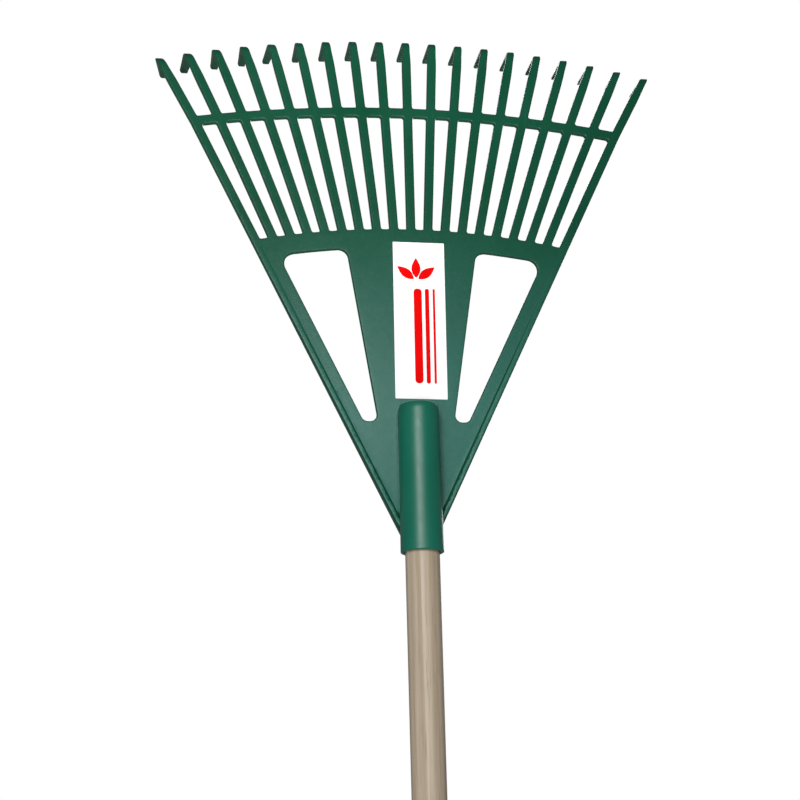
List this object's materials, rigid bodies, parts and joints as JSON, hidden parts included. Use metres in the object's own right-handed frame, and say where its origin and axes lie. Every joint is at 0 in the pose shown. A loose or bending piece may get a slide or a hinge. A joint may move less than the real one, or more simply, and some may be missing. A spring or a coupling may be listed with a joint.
{
  "type": "lawn rake",
  "caption": "Long-handled lawn rake: a flat plastic fan head with hooked spring tines, a tie bar, a windowed web and a tube socket on a round wooden handle.",
  "frame": {"origin": "on the handle's axis, at the mouth of the head's socket", "axes": "+Z along the handle towards the tine tips, +X to the right seen from the front, -Y the front with the label and +Y the back that the tines hook towards"},
  "size_m": [0.4406, 0.0659, 1.5493],
  "materials": {
    "green_plastic": "moulded polypropylene, satin, slightly scuffed",
    "wood": "plain turned hardwood, unvarnished",
    "screw_steel": "zinc plated",
    "label_film": "white self-adhesive film"
  },
  "bodies": {
    "root": {"handle": "wood", "socket_screw": "screw_steel", "label": "label_film", "handle_socket": "green_plastic", "fan_web": "green_plastic", "left_edge_rib": "green_plastic", "right_edge_rib": "green_plastic", "tie_bar": "green_plastic", "tine_01": "green_plastic", "tine_02": "green_plastic", "tine_03": "green_plastic", "tine_04": "green_plastic", "tine_05": "green_plastic", "tine_06": "green_plastic", "tine_07": "green_plastic", "tine_08": "green_plastic", "tine_09": "green_plastic", "tine_10": "green_plastic", "tine_11": "green_plastic", "tine_12": "green_plastic", "tine_13": "green_plastic", "tine_14": "green_plastic", "tine_15": "green_plastic", "tine_16": "green_plastic", "tine_17": "green_plastic", "tine_18": "green_plastic", "tine_19": "green_plastic"}
  },
  "joints": []
}
